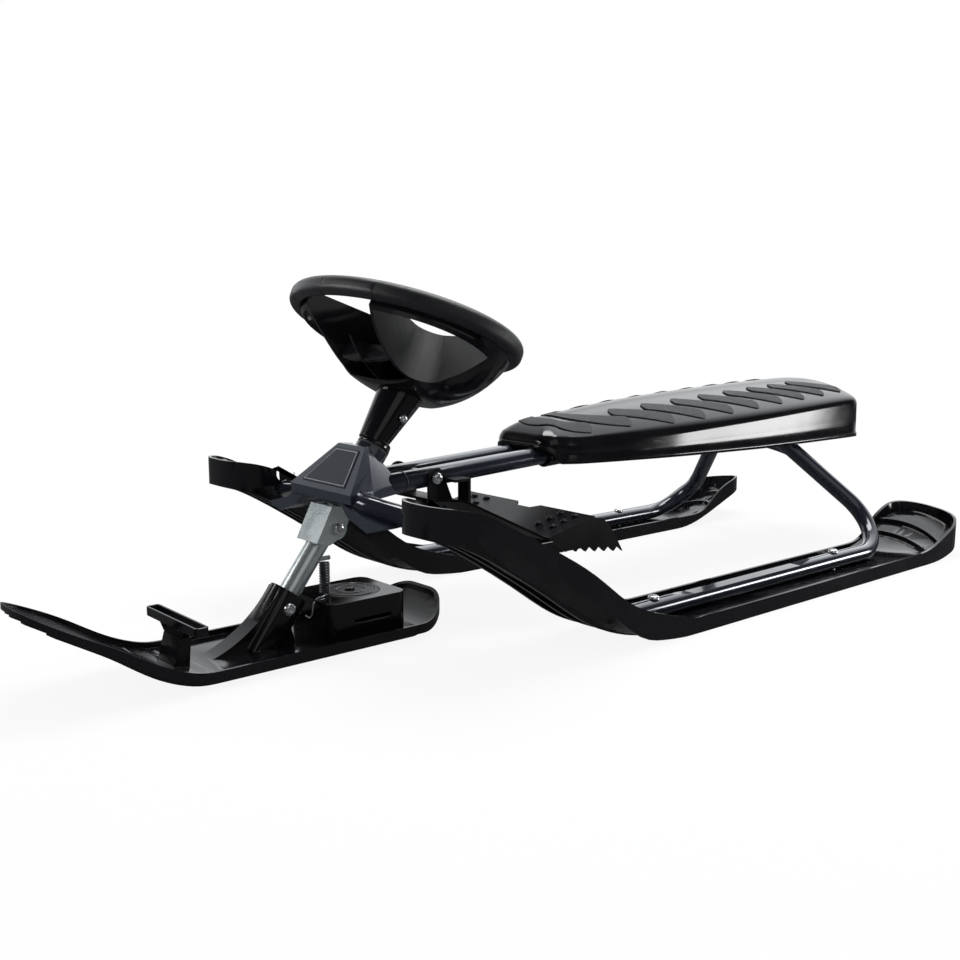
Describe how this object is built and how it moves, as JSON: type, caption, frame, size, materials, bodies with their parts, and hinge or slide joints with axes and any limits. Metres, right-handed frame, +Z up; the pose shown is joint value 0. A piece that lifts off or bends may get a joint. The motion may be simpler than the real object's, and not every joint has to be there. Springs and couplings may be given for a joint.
{
  "type": "steering sled",
  "caption": "Snow sled on a bent tube frame with a padded seat, steered by an oval wheel that turns the front ski; side skis, foot brake and tow handle.",
  "frame": {"origin": "on the ground under the middle of the sled's length and width", "axes": "+Z up, -Y towards the front ski, +X towards the sled's left side"},
  "size_m": [0.465, 1.206, 0.3705],
  "materials": {
    "tube_paint": "dark slate metallic paint",
    "zinc": "zinc plated",
    "bright_bolts": "bright",
    "spring_steel": "oiled wire",
    "label_plate": "satin, plain",
    "grip_pad": "fine grain",
    "brake_black": "satin black",
    "bush_plastic": "plain",
    "rim_grip": "satin",
    "black_plastic": "gloss"
  },
  "bodies": {
    "frame": {"brake_bolt": "bright_bolts", "brake_spring": "spring_steel", "front_leg_left": "tube_paint", "front_leg_right": "tube_paint", "head_bush_high": "bush_plastic", "head_bush_low": "bush_plastic", "head_hood": "tube_paint", "head_label_plate": "label_plate", "head_saddle_left": "tube_paint", "head_saddle_right": "tube_paint", "head_tube": "tube_paint", "rail_left": "tube_paint", "rail_right": "tube_paint", "rear_gusset": "tube_paint", "rear_leg_left": "tube_paint", "rear_leg_right": "tube_paint", "runner_left": "tube_paint", "runner_right": "tube_paint", "seat_clamp_front": "tube_paint", "seat_clamp_rear": "tube_paint", "seat_pads": "grip_pad", "seat_screw_front": "bright_bolts", "seat_screw_rear": "bright_bolts", "seat_shell": "black_plastic", "ski_bolt_front_left": "bright_bolts", "ski_bolt_front_right": "bright_bolts", "ski_bolt_rear_left": "bright_bolts", "ski_bolt_rear_right": "bright_bolts", "ski_left": "black_plastic", "ski_right": "black_plastic"},
    "steering": {"column": "zinc", "clevis": "zinc", "fork_leg": "zinc", "clevis_bolt": "bright_bolts", "wheel_rim": "rim_grip", "wheel_hub": "black_plastic", "wheel_screw": "bright_bolts"},
    "front_ski": {"front_ski": "black_plastic", "pivot_bolt": "bright_bolts", "winder_housing": "black_plastic", "winder_lid": "black_plastic", "winder_axle": "bright_bolts", "winder_spring": "spring_steel", "ski_spring": "spring_steel"},
    "reel": {"winder_reel": "black_plastic"},
    "handle": {"tow_handle": "black_plastic"},
    "brake": {"brake_plate": "brake_black"}
  },
  "joints": [
    {"name": "steer", "type": "hinge", "parent": "frame", "child": "steering", "pos_m": [0, -0.294, 0.1045], "axis": [0, 0.6088, 0.7934], "range_deg": [-25, 25]},
    {"name": "ski_pitch", "type": "hinge", "parent": "steering", "child": "front_ski", "pos_m": [0, -0.33887, 0.04603], "axis": [1, 0, 0], "range_deg": [-8, 8], "stiffness_Nm_per_rad": 20, "deforming": ["ski_spring"]},
    {"name": "handle_pull", "type": "slide", "parent": "front_ski", "child": "handle", "axis": [0, 0, 1], "range_m": [0, 0.06]},
    {"name": "reel_turn", "type": "hinge", "parent": "front_ski", "child": "reel", "pos_m": [0, -0.256, 0.022], "axis": [0, 0, 1], "range_deg": [-1, 200]},
    {"name": "brake_press", "type": "hinge", "parent": "frame", "child": "brake", "pos_m": [0, -0.168, 0.16087], "axis": [-1, 0, 0], "range_deg": [0, 14], "stiffness_Nm_per_rad": 4, "springref_deg": -28.65}
  ],
  "couplings": [
    {"joint": "reel_turn", "follows": "handle_pull", "rad_per_m": 55}
  ]
}
